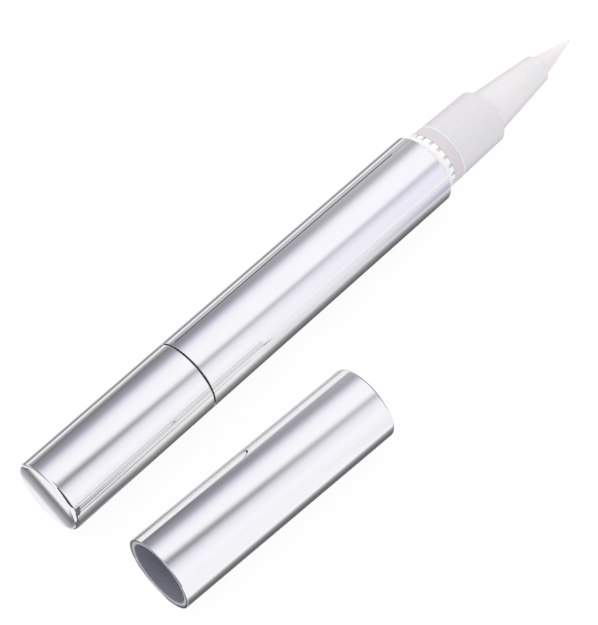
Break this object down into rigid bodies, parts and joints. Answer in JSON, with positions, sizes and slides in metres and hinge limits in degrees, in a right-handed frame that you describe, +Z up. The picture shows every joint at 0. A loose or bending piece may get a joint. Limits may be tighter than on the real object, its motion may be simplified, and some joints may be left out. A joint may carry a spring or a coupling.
{
  "type": "teeth whitening pen",
  "caption": "Twist-up applicator pen in polished metal shells with a frosted nozzle and a pointed brush, its pull-off cap lying beside it.",
  "frame": {"origin": "centre of the bounding box of pen and cap, on the surface that they lie on", "axes": "+X along the pen from the knob to the brush, +Z up"},
  "size_m": [0.1226, 0.0364, 0.013],
  "materials": {
    "polished_aluminium": "polished to a mirror, clear anodised",
    "cap_liner_plastic": "smooth moulded, slate grey",
    "reservoir_plastic": "smooth moulded, white",
    "seal_rubber": "soft matte, pinkish",
    "frosted_plastic": "frosted, translucent",
    "holder_plastic": "frosted, translucent",
    "bristle_nylon": "fine nylon filaments, cream",
    "core_plastic": "smooth moulded",
    "acetal": "smooth moulded, natural white",
    "piston_plastic": "soft moulded polyethylene",
    "ferrule_metal": "plain drawn steel",
    "tube_plastic": "extruded, translucent"
  },
  "bodies": {
    "barrel": {"barrel_shell": "polished_aluminium", "reservoir": "reservoir_plastic", "neck_seal": "seal_rubber", "nozzle_collar": "frosted_plastic", "brush_holder": "holder_plastic", "brush_ferrule": "ferrule_metal", "brush_tuft": "bristle_nylon", "feed_tube": "tube_plastic", "guide_nut": "acetal", "ratchet_ring": "acetal", "barrel_bush": "core_plastic"},
    "knob": {"knob_shell": "polished_aluminium", "knob_insert": "core_plastic", "drive_sleeve": "acetal", "click_ring": "acetal"},
    "piston": {"piston": "piston_plastic"},
    "rod": {"screw_rod": "acetal"},
    "cap": {"cap_shell": "polished_aluminium", "cap_liner": "cap_liner_plastic"}
  },
  "joints": [
    {"name": "knob_twist", "type": "hinge", "parent": "barrel", "child": "knob", "pos_m": [-0.06128, 0.01177, 0.00648], "axis": [1, 0, 0], "range_deg": [0, 3600]},
    {"name": "piston_travel", "type": "slide", "parent": "barrel", "child": "piston", "axis": [1, 0, 0], "range_m": [0, 0.03]},
    {"name": "rod_feed", "type": "slide", "parent": "knob", "child": "rod", "axis": [1, 0, 0], "range_m": [0, 0.03]},
    {"name": "cap_pull", "type": "slide", "parent": "barrel", "child": "cap", "axis": [0.9987, -0.0511, 0], "range_m": [0, 0.038]}
  ],
  "couplings": [
    {"joint": "piston_travel", "follows": "knob_twist", "m_per_rad": 0.00047746},
    {"joint": "rod_feed", "follows": "knob_twist", "m_per_rad": 0.00047746}
  ]
}
